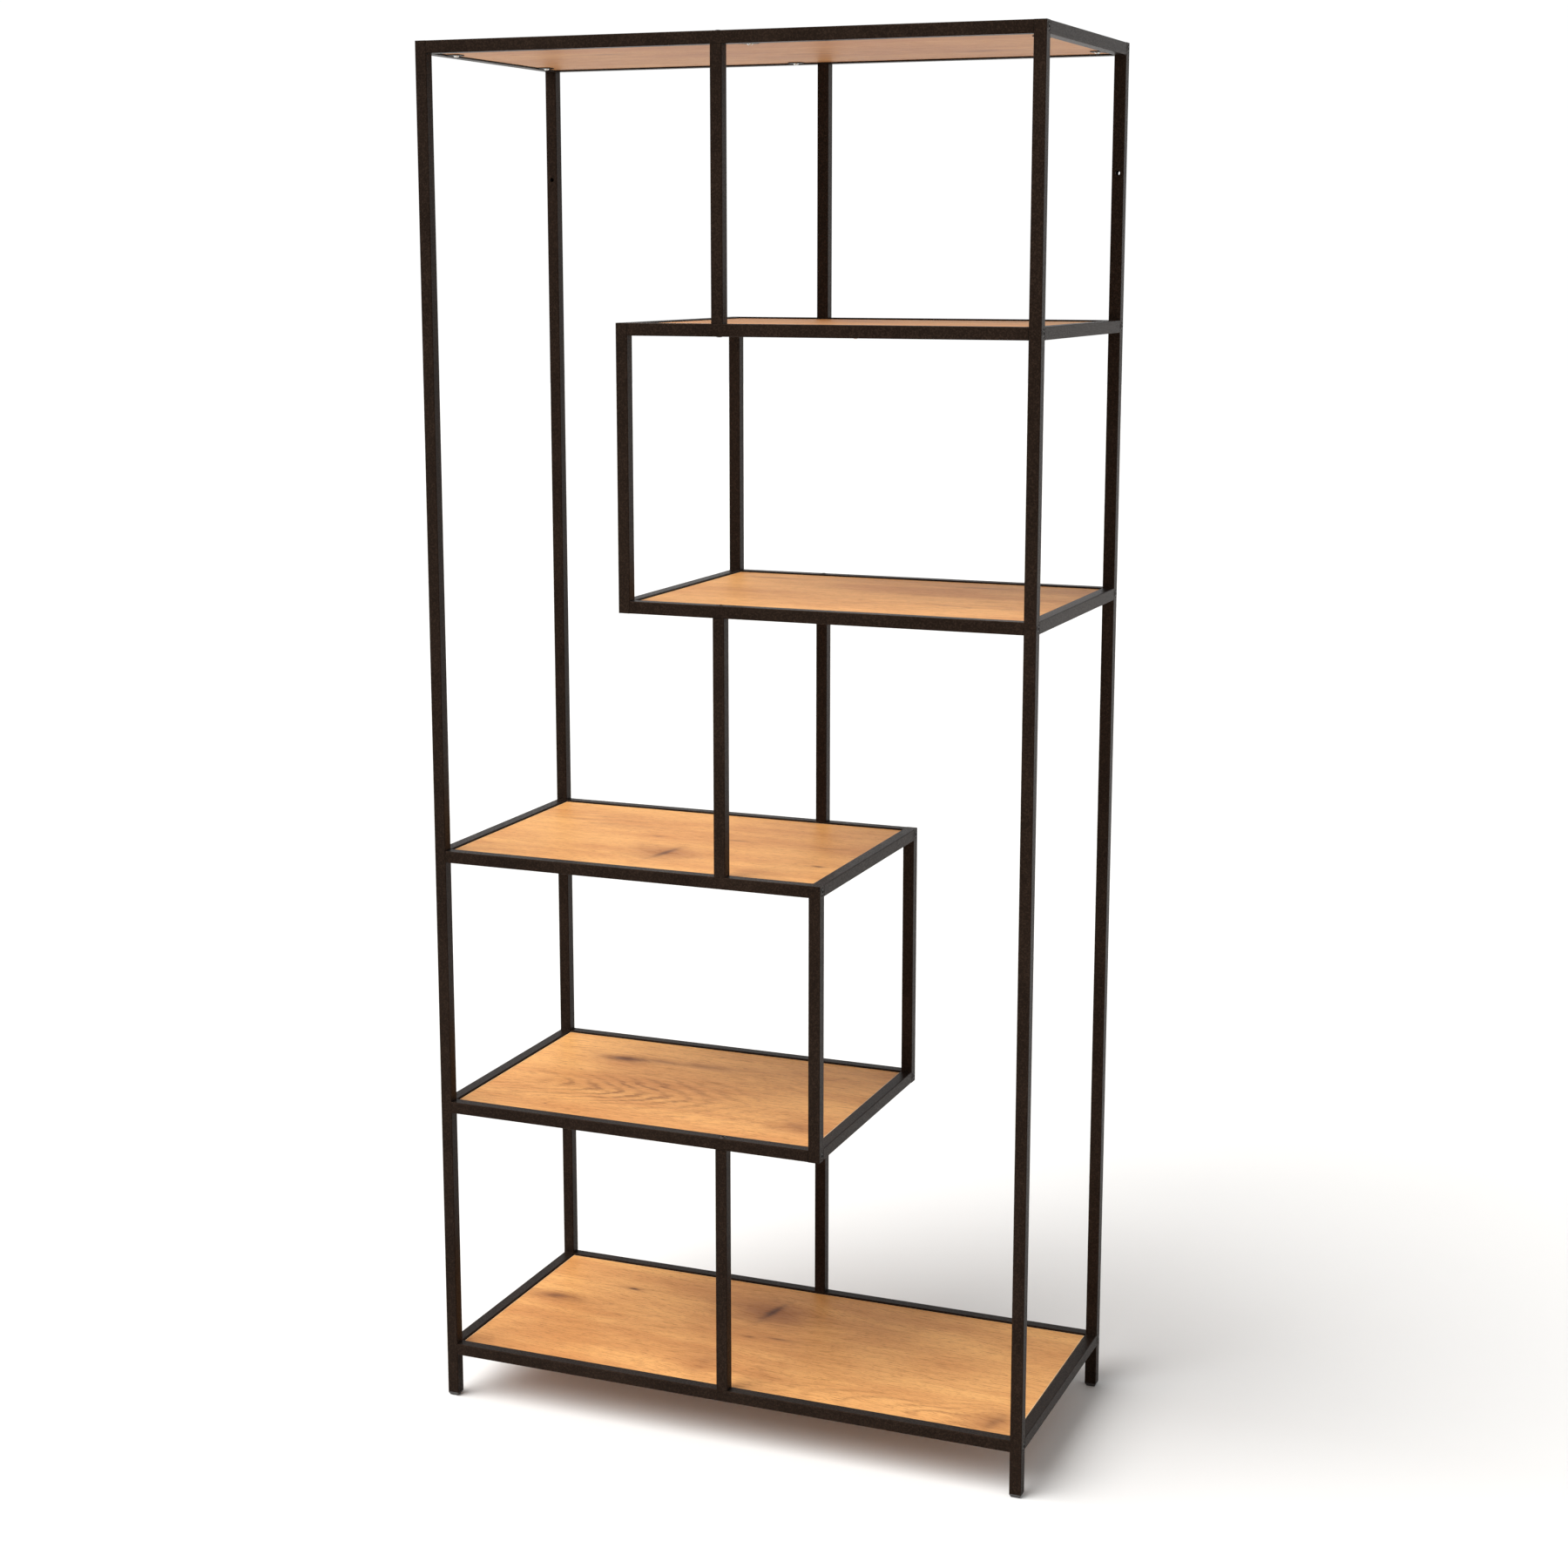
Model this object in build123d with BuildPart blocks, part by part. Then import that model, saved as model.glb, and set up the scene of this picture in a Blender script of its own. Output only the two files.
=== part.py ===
"""Open bookcase of square steel tube with two offset boxes and six wood-decor boards.

Two full-height ladder frames stand left and right. A short frame closes the left side of the
upper box, another closes the right side of the lower box, and bolted front and rear rails join
the frames at six levels. Short centre posts carry the rails in three of the five storeys.
Origin: centre of the footprint on the floor. +X to the right, +Y to the rear, +Z up. Millimetres.
"""

from build123d import *
import os

os.makedirs("parts", exist_ok=True)

# ---------------------------------------------------------------- overall sizes
HEIGHT = 1850.0
WIDTH = 840.0
DEPTH = 380.0
FLOOR_GAP = 62.0  # free height under the bottom frame
STOREYS = 5  # equal storeys between the six levels
UPPER_BOX_INSET = 280.0  # from the left side of the bookcase to the upper box
LOWER_BOX_WIDTH = 560.0  # from the left side of the bookcase to the lower box's right side

# ---------------------------------------------------------------- square tube
TUBE = 16.0
WALL = 1.2
CORNER_R = 1.2
INNER_CORNER_R = 0.3
FIT_GAP = 0.1  # between a tube's inside and what is fitted in it, each side

# ---------------------------------------------------------------- boards
BOARD_T = 12.0
BOARD_DROP = 2.0  # board top below the frame top
BOARD_GAP = 1.5  # board edge to frame, each side
EDGING_T = 0.8
EDGING_ARRIS = 0.35

# ---------------------------------------------------------------- board tabs and screws
TAB_T = 1.2
TAB_REACH = 18.0
TAB_WIDTH = 20.0
TAB_CORNER_R = 4.0
TAB_INSET = 62.0  # side tab centre from the frame's front or rear face
MIDDLE_TAB_OFFSET = 35.0  # rail tab centre from the middle of the rail
SCREW_REACH = 10.0  # screw axis from the tube that carries the tab
SCREW_D = 3.5
SCREW_L = BOARD_T - 1.0  # under the head, through the tab and into the board
SCREW_HEAD_D = 7.5
SCREW_HEAD_H = 2.2
SCREW_CROWN_R = 1.6  # flat middle of the head
SCREW_SLOT_W = 1.2
SCREW_SLOT_L = 4.4
SCREW_SLOT_DEPTH = 1.3
TAB_HOLE_GAP = 0.35  # between the screw and the tab's hole, all round
PILOT_GAP = 0.05
PILOT_DEPTH = BOARD_T - 1.5  # stops short of the board's top

# ---------------------------------------------------------------- frame bolts
BOLT_D = 6.0
BOLT_L = 25.0
BOLT_HEAD_D = 10.5
BOLT_HEAD_H = 3.3
BOLT_HEAD_RIM = 0.6  # straight rim under the dome
BOLT_HEAD_PROUD = 1.0  # dome above the tube's face
BOLT_HEAD_GAP = 0.25
BOLT_HOLE_GAP = 0.3  # between the bolt and its hole, all round
SOCKET_ACROSS_FLATS = 4.0
SOCKET_DEPTH = 2.0
SLEEVE_WALL = 1.7
INSERT_L = 12.0
INSERT_CORNER = 0.6
THREAD_GAP = 0.05

# ---------------------------------------------------------------- glides, plates, wall holes
GLIDE_H = 5.0
GLIDE_BEVEL_H = 3.5
GLIDE_BEVEL_IN = 2.0
GLIDE_SOLE_R = 0.6  # corner radius of the sole
SPIGOT_H = 14.0
SPIGOT_WALL = 1.6
END_PLATE_T = 1.5
WALL_HOLE_D = 6.0
WALL_HOLE_DROP = 165.0  # wall-fixing holes below the top

# ---------------------------------------------------------------- derived places
LEFT = -WIDTH / 2
RIGHT = WIDTH / 2
FRONT = -DEPTH / 2
REAR = DEPTH / 2
UPPER_BOX_LEFT = LEFT + UPPER_BOX_INSET
LOWER_BOX_RIGHT = LEFT + LOWER_BOX_WIDTH
CENTRE_POST_X = (LEFT + RIGHT) / 2
PITCH = (HEIGHT - FLOOR_GAP - TUBE) / STOREYS
INNER = TUBE - 2 * WALL
BOLT_HOLE_R = BOLT_D / 2 + BOLT_HOLE_GAP
HEAD_SEAT_DEPTH = BOLT_HEAD_H - BOLT_HEAD_PROUD
SLEEVE_L = TUBE - WALL - HEAD_SEAT_DEPTH

# Each level's frame: height of its top face, and its left and right outer faces.
LEVEL_NAMES = ["bottom", "lower_box_floor", "lower_box_top", "upper_box_floor", "upper_box_top", "top"]
LEVEL_Z = {name: FLOOR_GAP + TUBE + i * PITCH for i, name in enumerate(LEVEL_NAMES)}
LEVEL_SPAN = {
    "bottom": (LEFT, RIGHT),
    "lower_box_floor": (LEFT, LOWER_BOX_RIGHT),
    "lower_box_top": (LEFT, LOWER_BOX_RIGHT),
    "upper_box_floor": (UPPER_BOX_LEFT, RIGHT),
    "upper_box_top": (UPPER_BOX_LEFT, RIGHT),
    "top": (LEFT, RIGHT),
}
ROW_Y = {"front": FRONT + TUBE / 2, "rear": REAR - TUBE / 2}

# Side frames: left outer face, direction of their bolted face, post ends and levels.
SIDE_FRAMES = {
    "left": (LEFT, -1, GLIDE_H, HEIGHT, ["bottom", "lower_box_floor", "lower_box_top", "top"]),
    "right": (RIGHT - TUBE, 1, GLIDE_H, HEIGHT, ["bottom", "upper_box_floor", "upper_box_top", "top"]),
    "upper_box": (
        UPPER_BOX_LEFT,
        -1,
        LEVEL_Z["upper_box_floor"] - TUBE,
        LEVEL_Z["upper_box_top"],
        ["upper_box_floor", "upper_box_top"],
    ),
    "lower_box": (
        LOWER_BOX_RIGHT - TUBE,
        1,
        LEVEL_Z["lower_box_floor"] - TUBE,
        LEVEL_Z["lower_box_top"],
        ["lower_box_floor", "lower_box_top"],
    ),
}
# Centre posts stand on one level's rails and carry the next one's.
CENTRE_STOREYS = {
    "low": ("bottom", "lower_box_floor"),
    "middle": ("lower_box_top", "upper_box_floor"),
    "high": ("upper_box_top", "top"),
}


def save(piece, name):
    """Label a finished piece and write it to its own file."""
    piece.part.label = name
    export_step(piece.part, f"parts/{name}.step")


def square_tube(start, length, bolt_places=(), wall_hole_places=()):
    """A square tube from the start plane along its normal, with its bolt and wall holes."""
    with BuildPart() as tube:
        with BuildSketch(start):
            RectangleRounded(TUBE, TUBE, CORNER_R)
            RectangleRounded(INNER, INNER, INNER_CORNER_R, mode=Mode.SUBTRACT)
        extrude(amount=length)
        if bolt_places:
            with Locations(*bolt_places):
                CounterBoreHole(
                    radius=BOLT_HOLE_R,
                    counter_bore_radius=BOLT_HEAD_D / 2 + BOLT_HEAD_GAP,
                    counter_bore_depth=WALL,
                    depth=TUBE,
                )
        if wall_hole_places:
            with Locations(*wall_hole_places):
                Hole(radius=WALL_HOLE_D / 2, depth=TUBE)
    return tube


def copies(template, places):
    """One part that holds a copy of the template at each place."""
    with BuildPart() as group:
        with Locations(*places):
            add(template.part)
    return group


# ---------------------------------------------------------------- side frames
side_bolt_places = {}
for side, (x_left, facing, z_low, z_high, levels) in SIDE_FRAMES.items():
    x_axis = x_left + TUBE / 2
    x_bolted = x_axis + facing * TUBE / 2
    side_bolt_places[side] = []
    for row, y_axis in ROW_Y.items():
        bolt_places = [
            Plane(origin=(x_bolted, y_axis, LEVEL_Z[level] - TUBE / 2), z_dir=(facing, 0, 0))
            for level in levels
        ]
        side_bolt_places[side] += bolt_places
        wall_hole_places = []
        if row == "rear" and side in ("left", "right"):
            wall_hole_places = [Plane(origin=(x_axis, REAR, HEIGHT - WALL_HOLE_DROP), z_dir=(0, 1, 0))]
        post = square_tube(
            Plane.XY.offset(z_low).move(Location((x_axis, y_axis, 0))),
            z_high - z_low,
            bolt_places,
            wall_hole_places,
        )
        save(post, f"{side}_{row}_post")
    for level in levels:
        rail_start = Plane(origin=(x_axis, FRONT + TUBE, LEVEL_Z[level] - TUBE / 2), z_dir=(0, 1, 0))
        side_rail = square_tube(rail_start, DEPTH - 2 * TUBE)
        rail_level = level.removeprefix(f"{side}_")
        save(side_rail, f"{side}_side_rail_{rail_level}")

# ---------------------------------------------------------------- centre posts and their bolts
# A bolt enters each post end through the rail, from the rail's far face.
centre_bolt_places = {level: {"front": [], "rear": []} for level in LEVEL_NAMES}
for storey, (low, high) in CENTRE_STOREYS.items():
    z_low = LEVEL_Z[low]
    z_high = LEVEL_Z[high] - TUBE
    for row, y_axis in ROW_Y.items():
        centre_bolt_places[low][row].append(
            Plane(origin=(CENTRE_POST_X, y_axis, z_low - TUBE), z_dir=(0, 0, -1))
        )
        centre_bolt_places[high][row].append(
            Plane(origin=(CENTRE_POST_X, y_axis, z_high + TUBE), z_dir=(0, 0, 1))
        )
        centre_post = square_tube(
            Plane(origin=(CENTRE_POST_X, y_axis, z_low), z_dir=(0, 0, 1)), z_high - z_low
        )
        save(centre_post, f"{row}_centre_post_{storey}")

# ---------------------------------------------------------------- front and rear rails
for level, (x_left, x_right) in LEVEL_SPAN.items():
    for row, y_axis in ROW_Y.items():
        rail = square_tube(
            Plane(origin=(x_left + TUBE, y_axis, LEVEL_Z[level] - TUBE / 2), z_dir=(1, 0, 0)),
            x_right - x_left - 2 * TUBE,
            centre_bolt_places[level][row],
        )
        save(rail, f"{row}_rail_{level}")

# ---------------------------------------------------------------- bolt, sleeve and insert
# Each is modelled at its place on a tube's outer face, with +Z out of that face.
rim_top = -HEAD_SEAT_DEPTH + BOLT_HEAD_RIM
with BuildPart() as bolt:
    with BuildSketch(Plane.XZ):
        with BuildLine():
            Polyline(
                (BOLT_D / 2, BOLT_HEAD_PROUD),
                (0, BOLT_HEAD_PROUD),
                (0, -HEAD_SEAT_DEPTH - BOLT_L),
                (BOLT_D / 2, -HEAD_SEAT_DEPTH - BOLT_L),
                (BOLT_D / 2, -HEAD_SEAT_DEPTH),
                (BOLT_HEAD_D / 2, -HEAD_SEAT_DEPTH),
                (BOLT_HEAD_D / 2, rim_top),
            )
            TangentArc((BOLT_HEAD_D / 2, rim_top), (BOLT_D / 2, BOLT_HEAD_PROUD), tangent=(0, 1))
        make_face()
    revolve(axis=Axis.Z)
    with BuildSketch(Plane.XY.offset(BOLT_HEAD_PROUD)):
        RegularPolygon(radius=SOCKET_ACROSS_FLATS / 2, side_count=6, major_radius=False)
    extrude(amount=-SOCKET_DEPTH, mode=Mode.SUBTRACT)

with BuildPart() as sleeve:
    with BuildSketch(Plane.XY.offset(-HEAD_SEAT_DEPTH)):
        Circle(BOLT_HOLE_R + SLEEVE_WALL)
        Circle(BOLT_HOLE_R, mode=Mode.SUBTRACT)
    extrude(amount=-SLEEVE_L)

with BuildPart() as threaded_insert:
    with BuildSketch(Plane.XY.offset(-TUBE)) as insert_section:
        Rectangle(INNER - 2 * FIT_GAP, INNER - 2 * FIT_GAP)
        chamfer(insert_section.vertices(), INSERT_CORNER)
        Circle(BOLT_D / 2 + THREAD_GAP, mode=Mode.SUBTRACT)
    extrude(amount=-INSERT_L)

frame_bolt_places = side_bolt_places["left"] + side_bolt_places["right"]
box_bolt_places = side_bolt_places["upper_box"] + side_bolt_places["lower_box"]
post_bolt_places = [place for rows in centre_bolt_places.values() for row in rows.values() for place in row]
all_bolt_places = frame_bolt_places + box_bolt_places + post_bolt_places

save(copies(bolt, frame_bolt_places), "side_frame_bolts")
save(copies(bolt, box_bolt_places), "box_frame_bolts")
save(copies(bolt, post_bolt_places), "centre_post_bolts")
save(copies(sleeve, all_bolt_places), "bolt_sleeves")
save(copies(threaded_insert, all_bolt_places), "threaded_inserts")

# ---------------------------------------------------------------- boards, edging, tabs and screws
# A tab's plane has its origin on the tube's inner face and its x axis into the frame.
screw_places = []
board_edgings = []
for level, (x_left, x_right) in LEVEL_SPAN.items():
    board_top = LEVEL_Z[level] - BOARD_DROP
    board_bottom = board_top - BOARD_T
    board_length = x_right - x_left - 2 * (TUBE + BOARD_GAP)
    board_width = DEPTH - 2 * (TUBE + BOARD_GAP)
    frame_middle = (x_left + x_right) / 2
    board_centre = (frame_middle, 0)
    side_tab_y = DEPTH / 2 - TAB_INSET
    tab_spots = [
        (x_left + TUBE, -side_tab_y, (1, 0, 0)),
        (x_left + TUBE, side_tab_y, (1, 0, 0)),
        (x_right - TUBE, -side_tab_y, (-1, 0, 0)),
        (x_right - TUBE, side_tab_y, (-1, 0, 0)),
        (frame_middle + MIDDLE_TAB_OFFSET, FRONT + TUBE, (0, 1, 0)),
        (frame_middle - MIDDLE_TAB_OFFSET, REAR - TUBE, (0, -1, 0)),
    ]
    tab_planes = [
        Plane(origin=(x, y, board_bottom), x_dir=inward, z_dir=(0, 0, 1)) for x, y, inward in tab_spots
    ]
    level_screws = []
    for plane in tab_planes:
        on_axis = plane.origin + plane.x_dir * SCREW_REACH
        level_screws.append(Plane(origin=on_axis, z_dir=(0, 0, -1)))
    screw_places += [place.offset(TAB_T) for place in level_screws]

    with BuildPart() as board:
        with BuildSketch(Plane.XY.offset(board_bottom)):
            with Locations(board_centre):
                Rectangle(board_length - 2 * EDGING_T, board_width - 2 * EDGING_T)
        extrude(amount=BOARD_T)
        with Locations(*level_screws):
            Hole(radius=SCREW_D / 2 + PILOT_GAP, depth=PILOT_DEPTH)
    save(board, f"board_{level}")

    with BuildPart() as edging:
        with BuildSketch(Plane.XY.offset(board_bottom)):
            with Locations(board_centre):
                Rectangle(board_length, board_width)
        extrude(amount=BOARD_T)
        outer_edges = edging.edges().filter_by(Axis.Z, reverse=True)
        fillet(outer_edges, EDGING_ARRIS)
        with BuildSketch(Plane.XY.offset(board_bottom)):
            with Locations(board_centre):
                Rectangle(board_length - 2 * EDGING_T, board_width - 2 * EDGING_T)
        extrude(amount=BOARD_T, mode=Mode.SUBTRACT)
    board_edgings.append(edging)

    with BuildPart() as tabs:
        for plane in tab_planes:
            with BuildSketch(plane) as tab_section:
                with Locations((TAB_REACH / 2, 0)):
                    Rectangle(TAB_REACH, TAB_WIDTH)
                fillet(tab_section.vertices().filter_by(
                    lambda corner, frame=plane: frame.to_local_coords(corner.center()).X > SCREW_REACH
                ), TAB_CORNER_R)
                with Locations((SCREW_REACH, 0)):
                    Circle(SCREW_D / 2 + TAB_HOLE_GAP, mode=Mode.SUBTRACT)
            extrude(amount=-TAB_T)
    save(tabs, f"board_tabs_{level}")

with BuildPart() as edgings:
    for edging in board_edgings:
        add(edging.part)
save(edgings, "board_edgings")

with BuildPart() as screw:
    with BuildSketch(Plane.XZ):
        with BuildLine():
            Polyline(
                (SCREW_CROWN_R, SCREW_HEAD_H),
                (0, SCREW_HEAD_H),
                (0, -SCREW_L),
                (SCREW_D / 2, -SCREW_L + SCREW_D / 2),
                (SCREW_D / 2, 0),
                (SCREW_HEAD_D / 2, 0),
            )
            TangentArc((SCREW_HEAD_D / 2, 0), (SCREW_CROWN_R, SCREW_HEAD_H), tangent=(0, 1))
        make_face()
    revolve(axis=Axis.Z)
    with BuildSketch(Plane.XY.offset(SCREW_HEAD_H)):
        Rectangle(SCREW_SLOT_L, SCREW_SLOT_W)
        Rectangle(SCREW_SLOT_W, SCREW_SLOT_L)
    extrude(amount=-SCREW_SLOT_DEPTH, mode=Mode.SUBTRACT)
save(copies(screw, screw_places), "board_screws")

# ---------------------------------------------------------------- end plates and glides
corner_post_axes = [
    (x_axis, y_axis) for x_axis in (LEFT + TUBE / 2, RIGHT - TUBE / 2) for y_axis in ROW_Y.values()
]
plate_places = [Location((x, y, HEIGHT - END_PLATE_T)) for x, y in corner_post_axes]
for side in ("upper_box", "lower_box"):
    x_left, facing, z_low, z_high, levels = SIDE_FRAMES[side]
    for y_axis in ROW_Y.values():
        plate_places.append(Location((x_left + TUBE / 2, y_axis, z_low)))
        plate_places.append(Location((x_left + TUBE / 2, y_axis, z_high - END_PLATE_T)))

with BuildPart() as end_plate:
    with BuildSketch():
        RectangleRounded(INNER - 2 * FIT_GAP, INNER - 2 * FIT_GAP, INSERT_CORNER)
    extrude(amount=END_PLATE_T)
save(copies(end_plate, plate_places), "post_end_plates")

with BuildPart() as glide:
    with BuildSketch():
        RectangleRounded(TUBE - 2 * GLIDE_BEVEL_IN, TUBE - 2 * GLIDE_BEVEL_IN, GLIDE_SOLE_R)
    with BuildSketch(Plane.XY.offset(GLIDE_BEVEL_H)):
        RectangleRounded(TUBE, TUBE, CORNER_R)
    loft()
    with BuildSketch(Plane.XY.offset(GLIDE_BEVEL_H)):
        RectangleRounded(TUBE, TUBE, CORNER_R)
    extrude(amount=GLIDE_H - GLIDE_BEVEL_H)
    with BuildSketch(Plane.XY.offset(GLIDE_H)):
        Rectangle(INNER - 2 * FIT_GAP - 2 * INSERT_CORNER, INNER - 2 * FIT_GAP)
        Rectangle(INNER - 2 * FIT_GAP, INNER - 2 * FIT_GAP - 2 * INSERT_CORNER)
        spigot_bore = INNER - 2 * (FIT_GAP + SPIGOT_WALL)
        Rectangle(spigot_bore, spigot_bore, mode=Mode.SUBTRACT)
    extrude(amount=SPIGOT_H)
save(copies(glide, [Location((x, y, 0)) for x, y in corner_post_axes]), "foot_glides")
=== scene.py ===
"""Looks of an open bookcase: powder-coated steel tube, wild-oak decor boards, bolts, screws and glides."""

import math
from collections import namedtuple

import bmesh
import bpy
from bpy.props import FloatProperty, FloatVectorProperty, PointerProperty
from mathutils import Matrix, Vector


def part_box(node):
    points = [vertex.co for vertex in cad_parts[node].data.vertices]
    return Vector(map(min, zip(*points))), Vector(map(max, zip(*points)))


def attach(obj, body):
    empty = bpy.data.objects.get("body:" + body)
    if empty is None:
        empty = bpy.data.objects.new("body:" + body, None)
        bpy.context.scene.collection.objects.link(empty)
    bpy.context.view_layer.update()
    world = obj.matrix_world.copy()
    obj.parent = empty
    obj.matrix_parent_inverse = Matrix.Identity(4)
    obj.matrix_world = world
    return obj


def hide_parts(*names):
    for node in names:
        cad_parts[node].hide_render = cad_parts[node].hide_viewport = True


bl_info = {
    "name": "Two-box bookcase",
    "version": (1, 0, 0),
    "blender": (4, 5, 0),
    "location": "View3D > Sidebar > Bookcase",
    "description": "Builds the fasteners, welds, glides and finishes of an open steel and oak bookcase",
    "category": "Object",
}

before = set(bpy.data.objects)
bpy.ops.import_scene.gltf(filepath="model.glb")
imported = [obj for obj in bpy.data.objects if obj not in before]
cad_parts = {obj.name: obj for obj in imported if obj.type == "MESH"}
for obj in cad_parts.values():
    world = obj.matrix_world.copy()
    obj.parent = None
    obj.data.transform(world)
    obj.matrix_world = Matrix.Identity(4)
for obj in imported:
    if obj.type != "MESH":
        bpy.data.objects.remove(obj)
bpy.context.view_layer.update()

MM = 0.001
BODY = "root"
LEVELS = ("bottom", "lower_box_floor", "lower_box_top", "upper_box_floor", "upper_box_top", "top")
ROWS = ("front", "rear")
STOREYS = ("low", "middle", "high")
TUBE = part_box("left_front_post")[1].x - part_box("left_front_post")[0].x


def linear(red, green, blue):
    """Scene-linear colour of an 8-bit display colour."""
    def channel(value):
        value /= 255
        return value / 12.92 if value <= 0.04045 else ((value + 0.055) / 1.055) ** 2.4
    return channel(red), channel(green), channel(blue)


def length_property(name, description, millimetres):
    return FloatProperty(
        name=name, description=description, default=millimetres * MM, min=0.0, unit="LENGTH", precision=5
    )


def angle_property(name, description, degrees):
    return FloatProperty(
        name=name, description=description, default=math.radians(degrees), subtype="ANGLE", precision=3
    )


def number_property(name, description, number):
    return FloatProperty(name=name, description=description, default=number, precision=3)


def colour_property(name, description, colour):
    return FloatVectorProperty(
        name=name, description=description, default=colour, min=0.0, max=1.0, size=3, subtype="COLOR"
    )


class BookcaseSizes(bpy.types.PropertyGroup):
    """Sizes of the small pieces."""

    bolt_head: length_property("Bolt head", "Diameter of a frame bolt's head", 10.5)
    bolt_head_proud: length_property("Bolt head proud", "Height of the head above the tube", 1.0)
    bolt_head_sunk: length_property("Bolt head sunk", "Depth of the head's rim in the tube", 1.6)
    bolt_socket: length_property("Bolt socket", "Hexagon socket across flats", 4.0)
    bolt_socket_depth: length_property("Bolt socket depth", "Depth of the hexagon socket", 2.0)
    screw_head: length_property("Screw head", "Diameter of a board screw's head", 7.5)
    screw_head_height: length_property("Screw head height", "Height of a board screw's head", 2.2)
    screw_recess: length_property("Screw recess", "Length of the cross recess", 4.4)
    screw_recess_width: length_property("Screw recess width", "Width of each arm of the recess", 1.1)
    screw_recess_depth: length_property("Screw recess depth", "Depth of the cross recess", 1.3)
    bead_radius: length_property("Weld bead", "Radius of a weld bead", 1.1)
    bead_pitch: length_property("Weld ripple", "Distance between weld ripples", 0.9)
    glide_height: length_property("Glide height", "Visible height of a foot glide", 5.0)
    glide_bevel_height: length_property("Glide bevel height", "Height of the glide's bevel", 3.5)
    glide_bevel_in: length_property("Glide bevel", "Inward reach of the glide's bevel", 2.0)
    tube_corner: length_property("Tube corner", "Outer corner radius of the square tube", 1.2)
    tab_inset: length_property("Tab inset", "Side tab centre from the frame's face", 62.0)
    tab_offset: length_property("Tab offset", "Rail tab centre from the rail's middle", 35.0)
    tab_thickness: length_property("Tab thickness", "Thickness of a board tab", 1.2)
    tab_width: length_property("Tab width", "Width of a board tab", 20.0)
    tab_screw_reach: length_property("Screw reach", "Screw axis from the tube", 10.0)


class BookcaseColours(bpy.types.PropertyGroup):
    """Colours of the finishes."""

    coat: colour_property("Coat", "Powder coat", linear(18, 13, 10))
    # Lighter speckle of the coat: partly its grain, partly painted glints of its textured surface.
    coat_grain_and_glints: colour_property("Coat grain", "Lighter grain of the powder coat", linear(49, 38, 31))
    coat_sheen: colour_property("Coat sheen", "Tint of the coat's gloss", linear(255, 200, 165))
    oak_pale: colour_property("Pale oak", "Palest tone of the decor", linear(226, 168, 101))
    oak_honey: colour_property("Honey oak", "Warm tone of the decor", linear(202, 140, 80))
    oak_line: colour_property("Oak line", "Growth lines of the decor", linear(134, 84, 42))
    oak_halo: colour_property("Oak halo", "Stained wood round the knots", linear(142, 86, 45))
    oak_knot: colour_property("Oak knot", "Knots of the decor", linear(78, 43, 23))
    # Painted shade: the darker brown that downward faces of the boards are pulled towards, standing in for
    # the shade under each board.
    oak_underside_shade: colour_property("Oak, underside", "Duller decor under the boards", linear(128, 84, 60))
    edging: colour_property("Edging", "Board edging strip", linear(238, 206, 164))
    zinc: colour_property("Zinc", "Bright zinc screws", linear(214, 214, 210))
    black_oxide: colour_property("Black oxide", "Frame bolts", linear(40, 36, 34))
    steel: colour_property("Steel", "Plain steel inside the tubes", linear(150, 150, 150))
    plastic: colour_property("Plastic", "Foot glides", linear(44, 41, 39))
    floor: colour_property("Floor", "Plain floor", linear(226, 225, 223))


class BookcaseStage(bpy.types.PropertyGroup):
    """Floor, light and camera."""

    floor_radius: length_property("Floor", "Radius of the plain floor", 30000.0)
    horizon: number_property("Horizon", "Brightness of the white room at eye level", 1.02)
    ceiling: number_property("Ceiling", "Brightness of the room overhead", 0.35)
    soft_sun: number_property("Soft light", "Strength of the broad soft light", 4.4)
    soft_sun_height: angle_property("Light height", "Elevation of the broad soft light", 52)
    soft_sun_side: angle_property("Light side", "How far left of the front it stands", 46)
    soft_sun_spread: angle_property("Light spread", "Angle the broad soft light fills", 55)
    eye: FloatVectorProperty(
        name="Eye", description="Place of the camera", default=(1.3033, -3.191, 1.5768), unit="LENGTH"
    )
    sensor: number_property("Sensor", "Width of the camera's sensor in millimetres", 36.0)
    lens: number_property("Lens", "Focal length in millimetres", 59.535)
    lens_shift: number_property("Lens shift", "Rise of the lens in sensor widths, below zero a fall", -0.03)
    heading: angle_property("Heading", "Camera heading, left of straight ahead", 22.005)
    pitch: angle_property("Pitch", "Camera pitch, below level", 10.474)


# ------------------------------------------------------------------ places on the frame
def centre(node):
    low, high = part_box(node)
    return (low + high) / 2


def side_levels(side):
    """Names of the side rails of one side frame."""
    return sorted(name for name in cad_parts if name.startswith(f"{side}_side_rail_"))


def side_bolt_spots(side, facing):
    """Axis point on the outer face, and outward direction, of each bolt of a side frame."""
    outward = Vector((facing, 0, 0))
    spots = []
    for row in ROWS:
        post = centre(f"{side}_{row}_post")
        for rail in side_levels(side):
            spots.append((Vector((post.x, post.y, centre(rail).z)) + outward * TUBE / 2, outward))
    return spots


def centre_bolt_spots():
    """Bolts that enter the centre posts through the rails."""
    spots = []
    for row in ROWS:
        for storey in STOREYS:
            post = centre(f"{row}_centre_post_{storey}")
            low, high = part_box(f"{row}_centre_post_{storey}")
            spots.append((Vector((post.x, post.y, low.z - TUBE)), Vector((0, 0, -1))))
            spots.append((Vector((post.x, post.y, high.z + TUBE)), Vector((0, 0, 1))))
    return spots


def level_opening(level):
    """Lowest and highest inner corners of a level's frame, from its front and rear rails."""
    rail_low, rail_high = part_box(f"front_rail_{level}")
    rear_low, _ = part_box(f"rear_rail_{level}")
    return Vector((rail_low.x, rail_high.y, rail_low.z)), Vector((rail_high.x, rear_low.y, rail_high.z))


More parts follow.
